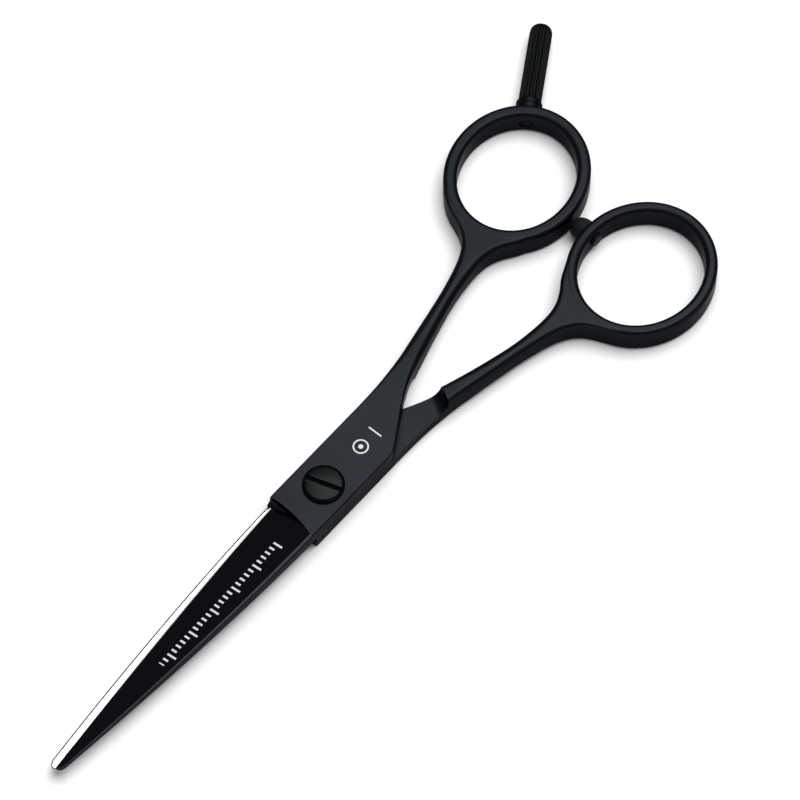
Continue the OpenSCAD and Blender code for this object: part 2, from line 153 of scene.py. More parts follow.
def new_group(name, inputs, outputs):
    group = bpy.data.node_groups.new(name, "ShaderNodeTree")
    for title, kind, value in inputs:
        socket = group.interface.new_socket(name=title, in_out="INPUT", socket_type=kind)
        if value is not None:
            socket.default_value = value
    for title, kind in outputs:
        group.interface.new_socket(name=title, in_out="OUTPUT", socket_type=kind)
    return group, node(group, "NodeGroupInput"), node(group, "NodeGroupOutput")


print("node helpers are ready")


# %% Shared effects
def make_grain_group():
    group, entry, leave = new_group(
        "grinding grain",
        [("Stretch", "NodeSocketVector", (1, 1, 1)), ("Turn", "NodeSocketFloat", 0.0)],
        [("Grain", "NodeSocketFloat")],
    )
    place = node(group, "ShaderNodeTexCoord")
    turn = node(group, "ShaderNodeVectorRotate", rotation_type="Z_AXIS")
    group.links.new(place.outputs["Object"], turn.inputs["Vector"])
    group.links.new(entry.outputs["Turn"], turn.inputs["Angle"])
    scale = node(group, "ShaderNodeVectorMath", operation="MULTIPLY")
    group.links.new(turn.outputs["Vector"], scale.inputs[0])
    group.links.new(entry.outputs["Stretch"], scale.inputs[1])
    noise = node(group, "ShaderNodeTexNoise")
    noise.inputs["Scale"].default_value = 1
    noise.inputs["Detail"].default_value = 4
    group.links.new(scale.outputs["Vector"], noise.inputs["Vector"])
    group.links.new(mapped(group, noise.outputs["Fac"], 0.3, 0.7), leave.inputs["Grain"])
    return group


def make_handling_group():
    group, entry, leave = new_group(
        "handling marks", [("Scale", "NodeSocketFloat", 90.0)], [("Marks", "NodeSocketFloat")]
    )
    place = node(group, "ShaderNodeTexCoord")
    noise = node(group, "ShaderNodeTexNoise")
    noise.inputs["Detail"].default_value = 3
    noise.inputs["Roughness"].default_value = 0.6
    group.links.new(place.outputs["Object"], noise.inputs["Vector"])
    group.links.new(entry.outputs["Scale"], noise.inputs["Scale"])
    group.links.new(mapped(group, noise.outputs["Fac"], 0.35, 0.75), leave.inputs["Marks"])
    return group


# Edge wear and painted highlight: the corner mask lightens edges, partly for worn coating and partly as a
# painted edge highlight.
def make_wear_and_glint_group():
    group, entry, leave = new_group(
        "edge wear", [("Width", "NodeSocketFloat", 0.15 * MM)], [("Wear_and_glint", "NodeSocketFloat")]
    )
    rounded = node(group, "ShaderNodeBevel", samples=6)
    group.links.new(entry.outputs["Width"], rounded.inputs["Radius"])
    true_normal = node(group, "ShaderNodeNewGeometry")
    dot = node(group, "ShaderNodeVectorMath", operation="DOT_PRODUCT")
    group.links.new(rounded.outputs["Normal"], dot.inputs[0])
    group.links.new(true_normal.outputs["Normal"], dot.inputs[1])
    bend = number(group, "SUBTRACT", 1.0, dot.outputs["Value"])
    group.links.new(mapped(group, bend, 0.02, 0.22), leave.inputs["Wear_and_glint"])
    return group


GRAIN = make_grain_group()
HANDLING = make_handling_group()
WEAR_AND_GLINT = make_wear_and_glint_group()
print("shared effects:", [g.name for g in (GRAIN, HANDLING, WEAR_AND_GLINT)])


# %% One function makes every finish
def mixed(tree, mask, first, second):
    made = node(tree, "ShaderNodeMix", data_type="RGBA")
    tree.links.new(mask, made.inputs[0])
    for socket, value in ((made.inputs[6], first), (made.inputs[7], second)):
        if isinstance(value, bpy.types.NodeSocket):
            tree.links.new(value, socket)
        else:
            socket.default_value = (*value, 1)
    return made.outputs[2]


# Grey of the laser marks, also used for the painted shadow along the cutting edge.
PRINT_AND_SHADOW_GREY = (0.6, 0.61, 0.63)
DARK_BELOW = 0.02
DARK_EDGE = (0.5, 0.5, 0.5, 1)


def finish(name, color, metallic, roughness, worn_and_glint, stretch, grain_depth, turn=0.0, gloss_change=0.1,
           wear_and_glint_share=0.35, marks=None):
    material = bpy.data.materials.new(name)
    material.use_nodes = True
    tree = material.node_tree
    shader = tree.nodes["Principled BSDF"]
    shader.inputs["Metallic"].default_value = metallic
    if max(color) < DARK_BELOW:
        shader.inputs["Specular Tint"].default_value = DARK_EDGE
    grain = node(tree, "ShaderNodeGroup", node_tree=GRAIN)
    grain.inputs["Stretch"].default_value = stretch
    grain.inputs["Turn"].default_value = turn
    handling = node(tree, "ShaderNodeGroup", node_tree=HANDLING)
    wear_and_glint = node(tree, "ShaderNodeGroup", node_tree=WEAR_AND_GLINT)
    darker = tuple(0.86 * c for c in color)
    base = mixed(tree, grain.outputs["Grain"], darker, color)
    # Corners lean toward the lighter colour: partly real wear, partly painted edge highlight.
    edge_wear_and_glint = number(tree, "MULTIPLY", wear_and_glint.outputs["Wear_and_glint"], wear_and_glint_share)
    base = mixed(tree, edge_wear_and_glint, base, worn_and_glint)
    # The mask is either laser print or the painted shadow along the cutting edge.
    if marks:
        mask = marks(tree)
        base = mixed(tree, mask, base, PRINT_AND_SHADOW_GREY)
        tree.links.new(number(tree, "SUBTRACT", metallic, mask, clamp=True), shader.inputs["Metallic"])
    tree.links.new(base, shader.inputs["Base Color"])
    rough = number(tree, "MULTIPLY", handling.outputs["Marks"], gloss_change)
    fine = number(tree, "MULTIPLY", grain.outputs["Grain"], 0.5 * gloss_change)
    rough = number(tree, "ADD", number(tree, "ADD", rough, fine), roughness)
    tree.links.new(rough, shader.inputs["Roughness"])
    bump = node(tree, "ShaderNodeBump")
    bump.inputs["Strength"].default_value = 0.5
    bump.inputs["Distance"].default_value = grain_depth
    tree.links.new(grain.outputs["Grain"], bump.inputs["Height"])
    tree.links.new(bump.outputs["Normal"], shader.inputs["Normal"])
    return material


ALONG = (220, 5200, 5200)
ACROSS = (5200, 220, 5200)
EVEN = (3500, 3500, 3500)
# Lighter corner colour of the black coat: partly worn coating, partly painted edge highlight.
WORN_AND_GLINT_COAT = (0.03, 0.031, 0.034)
SATIN_COLOR, POLISH_COLOR = (0.0112, 0.0123, 0.0148), (0.013, 0.0128, 0.0165)

satin_black = finish("satin_black", SATIN_COLOR, 1.0, 0.3, WORN_AND_GLINT_COAT, ALONG, 0.004 * MM)
inner_black = finish("inner_black", SATIN_COLOR, 1.0, 0.3, WORN_AND_GLINT_COAT, ACROSS, 0.004 * MM)
bare_steel = finish(
    "bare_steel", (0.78, 0.78, 0.79), 1.0, 0.22, (0.9, 0.9, 0.9), ACROSS, 0.003 * MM, turn=0.35
)
screw_black = finish("screw_black", (0.0095, 0.0108, 0.011), 1.0, 0.3, WORN_AND_GLINT_COAT, EVEN, 0.003 * MM)
# Painted shade: a darker copy of the screw's black for the head's chamfer, so the chamfer reads dark all round.
rim_black = finish("rim_black", (0.005, 0.0056, 0.0056), 1.0, 0.2, WORN_AND_GLINT_COAT, EVEN, 0.002 * MM)
# Painted shade: the screw slot's walls and floor are coloured near-black to stand in for the shadow inside the
# slot.
slot_black = finish("slot_black", (0.0016, 0.0017, 0.0017), 1.0, 0.45, (0.002, 0.002, 0.002), EVEN, 0.002 * MM)
fluted_black = finish("fluted_black", (0.0085, 0.0098, 0.0095), 1.0, 0.34, (0.02, 0.021, 0.022), EVEN,
                      0.004 * MM)
plain_steel = finish("plain_steel", (0.55, 0.56, 0.58), 1.0, 0.3, (0.8, 0.8, 0.8), EVEN, 0.003 * MM)
bronze = finish("bronze", (0.5, 0.33, 0.16), 1.0, 0.35, (0.75, 0.55, 0.3), EVEN, 0.003 * MM)
nylon = finish("nylon", (0.74, 0.72, 0.66), 0.0, 0.5, (0.85, 0.84, 0.8), EVEN, 0.004 * MM)
rubber = finish("rubber_black", (0.003, 0.003, 0.0033), 0.0, 0.62, (0.006, 0.006, 0.006), EVEN, 0.01 * MM)
rubber.node_tree.nodes["Principled BSDF"].inputs["Specular IOR Level"].default_value = 0.3
print("finishes:", len(bpy.data.materials))

# %% [markdown]
# ## Marks on the blade
# Shears carry laser marks: bright, matt and perfectly flat. Here they are plain ones, a
# millimetre scale along the blade and a ring with a dot on the block, worked out from the
# place on the piece, so they need no image.


# %% Mark masks
MARK_START, MARK_END = 12.2, 39.4
MARK_LINE = 0.35
MARK_RING_PLACE = (-9.0, 0.0)


def place_parts(tree):
    place = node(tree, "ShaderNodeTexCoord")
    split = node(tree, "ShaderNodeSeparateXYZ")
    scale = node(tree, "ShaderNodeVectorMath", operation="SCALE")
    scale.inputs["Scale"].default_value = 1 / MM
    tree.links.new(place.outputs["Object"], scale.inputs[0])
    tree.links.new(scale.outputs["Vector"], split.inputs["Vector"])
    return split.outputs["X"], split.outputs["Y"], split.outputs["Z"]


def inside(tree, value, low, high):
    over = number(tree, "GREATER_THAN", value, low)
    under = number(tree, "LESS_THAN", value, high)
    return number(tree, "MULTIPLY", over, under)


def scale_marks(tree):
    x, y, _ = place_parts(tree)
    step = number(tree, "FRACT", number(tree, "SUBTRACT", x, MARK_START))
    line = number(tree, "LESS_THAN", step, 0.34)
    short = inside(tree, y, MARK_LINE, MARK_LINE + 1.0)
    fives = number(tree, "FRACT", number(tree, "DIVIDE", number(tree, "SUBTRACT", x, MARK_START), 5.0))
    on_five = number(tree, "LESS_THAN", fives, 0.08)
    tall = number(tree, "MULTIPLY", inside(tree, y, MARK_LINE, MARK_LINE + 1.75), on_five)
    ticks = number(tree, "MULTIPLY", line, number(tree, "MAXIMUM", short, tall))
    return number(tree, "MULTIPLY", ticks, inside(tree, x, MARK_START - 0.01, MARK_END))


def ring_mark(tree):
    x, y, _ = place_parts(tree)
    dx = number(tree, "SUBTRACT", x, MARK_RING_PLACE[0])
    dy = number(tree, "SUBTRACT", y, MARK_RING_PLACE[1])
    square = number(tree, "ADD", number(tree, "MULTIPLY", dx, dx), number(tree, "MULTIPLY", dy, dy))
    far = number(tree, "SQRT", square)
    ring = inside(tree, far, 1.05, 1.3)
    dot = number(tree, "LESS_THAN", far, 0.4)
    bar = number(tree, "MULTIPLY", inside(tree, dx, -3.6, -3.35), inside(tree, dy, -1.3, 1.3))
    return number(tree, "MAXIMUM", number(tree, "MAXIMUM", ring, dot), bar)


# Painted shadow, not a mark: a grey band where the two cutting edges meet stands in for the contact shade
# between the blades.
def painted_edge_shadow(tree):
    z = place_parts(tree)[2]
    return inside(tree, z, BLADE_PLANE - 0.19, BLADE_PLANE + 0.19)


BLADE_PLANE = 2.55
# The honed bevel carries the painted edge shadow in place of a mark.
honed_steel = finish(
    "honed_steel", (0.86, 0.86, 0.87), 1.0, 0.16, (0.95, 0.95, 0.95), ALONG, 0.002 * MM, marks=painted_edge_shadow
)
polished_black = finish(
    "polished_black", POLISH_COLOR, 1.0, 0.12, WORN_AND_GLINT_COAT, ALONG, 0.0015 * MM,
    gloss_change=0.05, marks=scale_marks,
)
marked_black = finish(
    "marked_black", SATIN_COLOR, 1.0, 0.3, WORN_AND_GLINT_COAT, ALONG, 0.004 * MM, marks=ring_mark
)
plain_polish = finish(
    "plain_polish", POLISH_COLOR, 1.0, 0.12, WORN_AND_GLINT_COAT, ALONG, 0.0015 * MM, gloss_change=0.05
)
print("marked finishes are ready")

# %% [markdown]
# ## Sizes of the forging
# Both halves come from one pattern, so one set of rules draws them: the outline of the shank
# on both sides, how its edges round over, and how the blade narrows to its point. The lists
# are the pattern maker's outline, and a smooth curve runs through each of them.

# %% Sizes
BODY_THICKNESS = 5.1
RUNNING_GAP = 0.06
MIDDLE_Y = -0.25
UPPER_FACE = BODY_THICKNESS / 2 + RUNNING_GAP / 2
BLADE_REACH, HEEL = 62.7, 7.0
BLOCK_HALF, EDGE_HALF, TIP_HALF = 4.85, 4.45, 1.2
BLUNT_WIDTH, TIP_THICKNESS = 0.6, 0.8
BEVEL_HEIGHT, BEVEL_LEAN, LEAN_FALL = 0.42, 0.95, 0.45
HOLLOW_DEPTH, RIDE_LINE = 0.1, 0.55
RELIEF_RADIUS = 2.2
RING_OFFSET, RING_ROUNDING = 13.35, 0.8
FINGER_REACH, FINGER_HOLE, FINGER_BAND, FINGER_TILT = 64, (22.1, 19.1), 2.24, 15
THUMB_REACH, THUMB_HOLE, THUMB_BAND, THUMB_TILT = 63.2, (22.1, 19.6), 2.0, 1
BUMPER_REACH = 63.6
DRAWN_REACH, DRAWN_FRONT = 64, 12
STEEPEST = 1.5
CORNER_STEPS = 7
RING_STEPS = 192

INNER_OUTLINE = [(-57, -3.3), (-54, -4.65), (-52, -5.95), (-50, -6.85), (-48, -7.2), (-45, -7.1),
                 (-40, -6.4), (-35, -5.2), (-30, -3.85), (-25, -2.4), (-22, -1.2), (-19, 0.35),
                 (-16.5, 1.85), (-14, 3.35), (-12, 4.5), (-11.2, 4.8), (-10.4, 4.85), (-9, 4.85)]
OUTER_OUTLINE = [(-57, -22.3), (-54, -20.6), (-52.5, -18.9), (-51.5, -17.2), (-50.8, -15.5),
                 (-50, -13.9), (-49, -12.6), (-47.5, -11.4), (-45, -10.25), (-40, -8.85),
                 (-35, -7.8), (-30, -6.8), (-25, -5.75), (-20, -5.1), (-15, -4.87),
                 (-10.4, -4.85), (-9, -4.85)]
HEIGHT_INSET = [(-57, 0.03), (-52, 0.03), (-48, 0.12), (-44, 0.3), (-38, 0.4), (-32, 0.33),
                (-26, 0.1), (-22, 0.01), (-20, 0), (-9, 0)]
EDGE_ROUNDING = [(-57, 0.7), (-50, 0.9), (-46, 1.1), (-40, 1.17), (-34, 1.2), (-28, 1.1),
                 (-24, 0.75), (-20, 0.5), (-16, 0.38), (-12, 0.3), (-9, 0.3)]


def curve(points, place):
    i = 0
    while i + 2 < len(points) and place >= points[i + 1][0]:
        i += 1

    def slope(k):
        a, b = points[max(k - 1, 0)], points[min(k + 1, len(points) - 1)]
        return (b[1] - a[1]) / (b[0] - a[0])

    width = points[i + 1][0] - points[i][0]
    f = min(max((place - points[i][0]) / width, 0), 1)
    g = 1 - f
    value = points[i][1] * (1 + 2 * f) * g * g + points[i + 1][1] * (3 - 2 * f) * f * f
    return value + width * (slope(i) * f * g * g - slope(i + 1) * f * f * g)


def share(place, start, end):
    return min(max((place - start) / (end - start), 0), 1)


print("shank is", round(curve(INNER_OUTLINE, -40) - curve(OUTER_OUTLINE, -40), 2), "mm wide at its waist")

# %% [markdown]
# ## Tools for solid metal
# A forging is a chain of cross-sections skinned into one closed shape. A ring is a stack of
# ovals, and a turned piece is a profile spun round an axis. Cuts use the boolean modifier,
# applied at once, so every piece ends as a plain closed mesh.


# %% Skinning, turning and cutting
def new_piece(name, vertices, faces):
    mesh = bpy.data.meshes.new(name)
    mesh.from_pydata([Vector(v) * MM for v in vertices], [], faces)
    bm = bmesh.new()
    bm.from_mesh(mesh)
    bmesh.ops.remove_doubles(bm, verts=bm.verts, dist=1e-8)
    bmesh.ops.recalc_face_normals(bm, faces=bm.faces)
    bm.to_mesh(mesh)
    bm.free()
    piece = bpy.data.objects.new(name, mesh)
    bpy.context.scene.collection.objects.link(piece)
    return piece


def skin(name, sections):
    n, m = len(sections[0]), len(sections)
    vertices = [p for section_points in sections for p in section_points]
    sides = [
        (i * n + k, (i + 1) * n + k, (i + 1) * n + (k + 1) % n, i * n + (k + 1) % n)
        for i in range(m - 1) for k in range(n)
    ]
    return new_piece(name, vertices, [tuple(range(n)), *sides, tuple(range((m - 1) * n, m * n))])


def oval_stack(name, long_half, short_half, rows, steps=RING_STEPS):
    turns = [math.tau * k / steps for k in range(steps)]
    return skin(name, [
        [((long_half + out) * math.cos(a), (short_half + out) * math.sin(a), z) for a in turns]
        for out, z in rows
    ])


def turned(name, profile, steps=96):
    return oval_stack(name, 0, 0, profile, steps)


def drop(piece):
    mesh = piece.data
    bpy.data.objects.remove(piece)
    bpy.data.meshes.remove(mesh)


def plain_mesh(piece):
    evaluated = piece.evaluated_get(bpy.context.evaluated_depsgraph_get())
    mesh = bpy.data.meshes.new_from_object(evaluated)
    piece.modifiers.clear()
    old = piece.data
    piece.data = mesh
    bpy.data.meshes.remove(old)


def combine(piece, other, operation):
    cut = piece.modifiers.new("cut", "BOOLEAN")
    cut.operation = operation
    cut.solver = "EXACT"
    cut.object = other
    plain_mesh(piece)
    drop(other)


def place(piece, matrix):
    piece.data.transform(matrix)
    if matrix.to_3x3().determinant() < 0:
        piece.data.flip_normals()
    return piece


def moved(x, y, z):
    return Matrix.Translation(Vector((x, y, z)) * MM)


def turned_by(degrees, axis):
    return Matrix.Rotation(math.radians(degrees), 4, axis)


print("solid tools are ready")


# %% Cross-sections
def corner(x, across, up, r, start, end):
    return [
        (x, across + r * math.cos(math.radians(a)), up + r * math.sin(math.radians(a)))
        for a in (start + (end - start) * k / CORNER_STEPS for k in range(CORNER_STEPS + 1))
    ]


def section(x, low, high, bottom, top_low, top_high, rounding, lean=0.0, low_rounding=9.0, land=0.0):
    r = min(rounding, 0.49 * (high - low), 0.49 * (top_low - bottom))
    q = min(r, low_rounding)
    fall = math.degrees(math.atan2(top_high - r - top_low + q, high - low - r - q - land))
    tilt = math.degrees(math.atan(lean))
    return [
        *corner(x, high - r, bottom + r, r, -90, 0),
        *corner(x, high - r, top_high - r, r, 0, 90),
        *(corner(x, high - r - land, top_high - r, r, 90, 90 + fall) if top_high > top_low else []),
        *corner(x, low + q, top_low - q, q, 90 + fall, 180 - tilt),
        *corner(x, low + q - lean * (top_low - bottom - 2 * q), bottom + q, q, 180 - tilt, 270),
    ]


def laid(x, reach):
    if x >= -DRAWN_FRONT:
        return x
    return (x + DRAWN_FRONT) * (reach - DRAWN_FRONT) / (DRAWN_REACH - DRAWN_FRONT) - DRAWN_FRONT


def along(x):
    return share(x, HEEL, BLADE_REACH)


def spine_at(x):
    return TIP_HALF + (BLOCK_HALF - TIP_HALF) * (1 - along(x) ** 1.6)


def edge_at(x):
    return EDGE_HALF * (1 - along(x) ** 1.3)


def thickness_at(x):
    return TIP_THICKNESS + (BODY_THICKNESS - 0.02 - UPPER_FACE - TIP_THICKNESS) * (1 - along(x) ** 1.2)


def point_at(x):
    f = share(x, BLADE_REACH - TIP_HALF, BLADE_REACH)
    return (TIP_HALF - BLUNT_WIDTH) * (1 - math.sqrt(max(1 - f * f, 0)))


def lean_at(x):
    return BEVEL_LEAN - LEAN_FALL * along(x) ** 4


def blade_section(x):
    rounding = 0.24 - 0.15 * along(x)
    land = 0.32 * (1 - 0.8 * along(x))
    bevel = BEVEL_HEIGHT * (1 - 0.4 * along(x))
    low, high = -edge_at(x) + lean_at(x) * bevel, spine_at(x) - point_at(x)
    top = UPPER_FACE + thickness_at(x)
    bevel_top = max(UPPER_FACE + bevel, top - STEEPEST * (high - low - land - 2 * rounding))
    return section(x, low, high, 0, bevel_top, top, rounding, lean_at(x), 0.03, land)


print("blade is", round(spine_at(HEEL) + edge_at(HEEL), 2), "mm wide at its heel")

# %% [markdown]
# ## The two forged halves
# One function makes a half as the upper one lies. It skins the shank and block, grinds the
# curved step at the block's front, adds the wedge of the blade and the oval ring, and then
# takes away the finger hole, the half-thickness relief and the hollow inside the blade.
# The lower half is the same shape turned over, with its own ring and bores.


# %% Grinding tools
def relief_tool():
    low = UPPER_FACE - RELIEF_RADIUS
    arc = [
        (RELIEF_RADIUS * math.cos(math.radians(a)), low + RELIEF_RADIUS * math.sin(math.radians(a)))
        for a in range(90, 181, 5)
    ]
    profile = [(110, -3), (110, UPPER_FACE), *arc, (-RELIEF_RADIUS, -3)]
    wide = 80
    tool = skin("relief", [[(u, v, z) for u, z in profile] for v in (-wide, wide)])
    return place(tool, moved(-23.5, -2.35, 0) @ turned_by(28.8, "Z"))


def step_tool():
    sweep, foot = 20.8, 1.4
    rows = [(0, 0), (sweep - foot, 0)]
    rows += [(sweep - foot + foot * math.sin(math.radians(a)), foot - foot * math.cos(math.radians(a)))
             for a in range(6, 91, 6)]
    rows += [(sweep, BODY_THICKNESS), (0, BODY_THICKNESS)]
    tool = turned("step", rows, steps=480)
    return place(tool, moved(HEEL - 0.2 + sweep, -2.25, UPPER_FACE + BEVEL_HEIGHT))


def hollow_tool():
    stations = 24
    rows = []
    for k in range(stations + 1):
        x = HEEL + 6 + (BLADE_REACH - HEEL - 8) * k / stations
        low, high = -edge_at(x) + RIDE_LINE, spine_at(x) - RIDE_LINE
        depth = HOLLOW_DEPTH * min(math.sin(math.pi * k / stations) * 1.6 + 0.1, 1)
        arc = [(1 - j / 10) for j in range(11)]
        rows.append([(x, low, UPPER_FACE - 1), (x, high, UPPER_FACE - 1)]
                    + [(x, low + (high - low) * f, UPPER_FACE + 4 * depth * f * (1 - f) + 0.001) for f in arc])
    return skin("hollow", rows)


def box_tool(low, high):
    return skin("box", [[(x, low[1], low[2]), (x, high[1], low[2]), (x, high[1], high[2]), (x, low[1], high[2])]
                        for x in (low[0], high[0])])


def rim_tool(stations):
    wide, deep, clear = 0.28, 0.2, 0.4
    rows = []
    for x in [HEEL - 1, *stations, BLADE_REACH + 0.1]:
        start = spine_at(x) - point_at(x) - wide
        rows.append([(x, start, UPPER_FACE - clear), (x, start + wide + clear, UPPER_FACE - clear),
                     (x, start + wide + clear, UPPER_FACE + deep * (wide + clear) / wide), (x, start,
                     UPPER_FACE)])
    return skin("rim", rows)


def ring_rows(band):
    r = min(RING_ROUNDING, band * 0.45)
    steps = [90 * k / CORNER_STEPS for k in range(CORNER_STEPS + 1)]
    lower = [(band / 2 - r + r * math.sin(math.radians(a)), r - r * math.cos(math.radians(a))) for a in steps]
    return lower + [(out, BODY_THICKNESS - z) for out, z in reversed(lower)]


def hole_rows(band):
    r = min(RING_ROUNDING, band * 0.45)
    steps = [8 + 82 * k / CORNER_STEPS for k in range(CORNER_STEPS + 1)]
    flare = [(-band / 2 + r - r * math.sin(math.radians(a)), r - r * math.cos(math.radians(a))) for a in steps]
    return ([(-band / 2 + r + 0.1, -0.1)] + flare + [(out, BODY_THICKNESS - z) for out, z in reversed(flare)]
            + [(-band / 2 + r + 0.1, BODY_THICKNESS + 0.1)])


print("ring rim has", len(ring_rows(2.0)), "rows")


# %% One forged half
SHANK_PITCH = 0.6


def mid_band(hole, band):
    return (hole[0] + band) / 2, (hole[1] + band) / 2


def forged_half(name, reach, hole, band, tilt):
    long_half, short_half = mid_band(hole, band)
    stations = [-57 + SHANK_PITCH * k for k in range(int(47 / SHANK_PITCH) + 1)]
    rows = [
        section(laid(x, reach), curve(OUTER_OUTLINE, x), curve(INNER_OUTLINE, x), curve(HEIGHT_INSET, x),
                BODY_THICKNESS - curve(HEIGHT_INSET, x), BODY_THICKNESS - curve(HEIGHT_INSET, x),
                curve(EDGE_ROUNDING, x))
        for x in stations
    ]
    rows.append(section(HEEL + 1.6, -BLOCK_HALF, BLOCK_HALF, 0, BODY_THICKNESS, BODY_THICKNESS, 0.3))
    half = skin(name, rows)
    combine(half, step_tool(), "DIFFERENCE")
    combine(half, box_tool((HEEL, -9, -1), (HEEL + 5, 9, UPPER_FACE + BEVEL_HEIGHT + 0.1)), "DIFFERENCE")
    taper = BLADE_REACH - TIP_HALF
    blade_x = [HEEL - 2] + [HEEL + 0.2 + (taper - HEEL - 0.2) * k / 40 for k in range(41)]
    blade_x += [taper + TIP_HALF * math.sin(math.radians(10 * k)) for k in range(1, 10)]
    combine(half, skin("blade", [blade_section(x) for x in blade_x]), "UNION")
    at_ring = moved(-reach, -RING_OFFSET, 0) @ turned_by(tilt, "Z")
    combine(half, place(oval_stack("ring", long_half, short_half, ring_rows(band)), at_ring), "UNION")
    combine(half, place(oval_stack("hole", long_half, short_half, hole_rows(band)), at_ring), "DIFFERENCE")
    combine(half, relief_tool(), "DIFFERENCE")
    combine(half, rim_tool(blade_x[1:]), "DIFFERENCE")
    combine(half, hollow_tool(), "DIFFERENCE")
    return half


finger_half = forged_half("finger_forging", FINGER_REACH, FINGER_HOLE, FINGER_BAND, FINGER_TILT)
place(finger_half, moved(0, MIDDLE_Y, 0))
thumb_half = forged_half("thumb_forging", THUMB_REACH, THUMB_HOLE, THUMB_BAND, THUMB_TILT)
print("forged halves:", len(finger_half.data.polygons), len(thumb_half.data.polygons), "faces")

# %% [markdown]
# ## Zones of finish
# The blank is coated black all over, and then the inner face of the blade and its cutting
# bevel are ground, which bares the steel. Each face gets its finish from where it lies and
# which way it looks. A cut across the mesh first makes the borders crisp.

# %% Give each face its finish
BARE_FROM = 4.6


def split_at(bm, x):
    geometry = bm.verts[:] + bm.edges[:] + bm.faces[:]
    bmesh.ops.bisect_plane(bm, geom=geometry, plane_co=(x * MM, 0, 0), plane_no=(1, 0, 0), dist=1e-9)


def finish_zones(piece, blade_finish, block_finish):
    mesh = piece.data
    bm = bmesh.new()
    bm.from_mesh(mesh)
    for x in (BARE_FROM, HEEL - 0.15, HEEL + 1.6):
        split_at(bm, x)
    mesh.materials.clear()
    for material in (satin_black, blade_finish, bare_steel, honed_steel, inner_black, block_finish):
        mesh.materials.append(material)
    for face in bm.faces:
        middle = face.calc_center_median() / MM
        face.smooth = True
        inner = face.normal.z < -0.97 and abs(middle.z - UPPER_FACE) < HOLLOW_DEPTH + 0.05
        steep = 1 / math.hypot(1, lean_at(middle.x))
        near_edge = middle.x > HEEL and middle.z < UPPER_FACE + BEVEL_HEIGHT + 0.3
        bevel = near_edge and face.normal.y < 0.03 - steep
        on_top = middle.z > BODY_THICKNESS - 0.01 and middle.x < HEEL + 2
        on_side = abs(face.normal.y) > 0.9 and middle.x < HEEL + 1.6
        face.material_index = 0
        if inner:
            face.material_index = 2 if middle.x > BARE_FROM else 4
        elif bevel:
            face.material_index = 3
        elif on_top:
            face.material_index = 5 if middle.x > -15 else 0
        elif middle.x > HEEL - 0.15 and not on_side:
            face.material_index = 1
    bm.to_mesh(mesh)
    bm.free()
    mesh.set_sharp_from_angle(angle=math.radians(28))


place(finger_half, moved(0, -MIDDLE_Y, 0))
finish_zones(finger_half, polished_black, marked_black)
finish_zones(thumb_half, plain_polish, satin_black)
place(finger_half, moved(0, MIDDLE_Y, 0))
place(thumb_half, moved(0, MIDDLE_Y, BODY_THICKNESS) @ turned_by(180, "X"))
print("finish zones are set")

# %% [markdown]
# ## Bores
# The screw passes through a bush in the upper half and threads into a round nut sunk in the
# lower one. The finger rest screws into the ring's wall, and the bumper's neck goes through
# the thumb ring's wall.

# %% Drill the halves
PIVOT_RIDE = (BODY_THICKNESS / 2 - 0.1, BODY_THICKNESS / 2 + 0.1)
REST_ANGLE, COLLAR_SINK = 211.7, 0.2
BUMPER_SINK = 0.15
FINGER_RING = (-FINGER_REACH, MIDDLE_Y - RING_OFFSET)


def rod(radius, low, high, steps=96):
    return turned("rod", [(radius, low), (radius, high)], steps)


ring_middle = Vector((*FINGER_RING, BODY_THICKNESS / 2))
REST_AXIS = Matrix.Translation(ring_middle * MM) @ turned_by(REST_ANGLE, "Z") @ turned_by(90, "Y")


def oval_distance(long_half, short_half, angle):
    a = math.radians(angle)
    return 1 / math.hypot(math.cos(a) / long_half, math.sin(a) / short_half)


rest_mid = oval_distance(*mid_band(FINGER_HOLE, FINGER_BAND), REST_ANGLE - 180 - FINGER_TILT)
REST_SEAT = rest_mid + FINGER_BAND / 2 - COLLAR_SINK
THUMB_RING_Y = MIDDLE_Y + RING_OFFSET
BUMPER_SEAT = THUMB_RING_Y - mid_band(THUMB_HOLE, THUMB_BAND)[1] - THUMB_BAND / 2 + BUMPER_SINK
BUMPER_AXIS = moved(-BUMPER_REACH, BUMPER_SEAT, BODY_THICKNESS / 2) @ turned_by(90, "X")

for tool in (
    rod(2.19, 0, BODY_THICKNESS),
    rod(2.9, BODY_THICKNESS - 0.95, BODY_THICKNESS + 0.1),
    rod(3.66, 0, PIVOT_RIDE[1] + 0.01),
    place(rod(1.23, REST_SEAT - 4, REST_SEAT + 4), REST_AXIS),
    place(rod(2.23, REST_SEAT - 0.01, REST_SEAT + 4), REST_AXIS),
):
    combine(finger_half, tool, "DIFFERENCE")
for tool in (
    rod(1.53, -0.1, BODY_THICKNESS),
    rod(3.23, -0.1, 0.93),
    rod(3.66, PIVOT_RIDE[0] - 0.01, BODY_THICKNESS),
    place(rod(0.93, -5, 2, 48), BUMPER_AXIS),
    place(rod(2.03, -0.02, 3, 64), BUMPER_AXIS),
):
    combine(thumb_half, tool, "DIFFERENCE")
print("rest seat is", round(REST_SEAT, 2), "mm from the ring's centre")


# %% Hand the halves to the frame
def weigh_normals(piece):
    piece.data.set_sharp_from_angle(angle=math.radians(28))
    weigh = piece.modifiers.new("weigh normals", "WEIGHTED_NORMAL")
    weigh.keep_sharp = True
    weigh.weight = 80


def hand_over(piece, body, slot, *nodes):
    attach(piece, body)
    if nodes:
        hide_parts(*nodes)


for piece, body, cad_node in (
    (finger_half, "finger_side", "finger_half"),
    (thumb_half, "thumb_side", "thumb_half"),
):
    for polygon in piece.data.polygons:
        polygon.use_smooth = True
    weigh_normals(piece)
    hand_over(piece, body, "coated_steel", cad_node)
print("halves ride on their bodies")

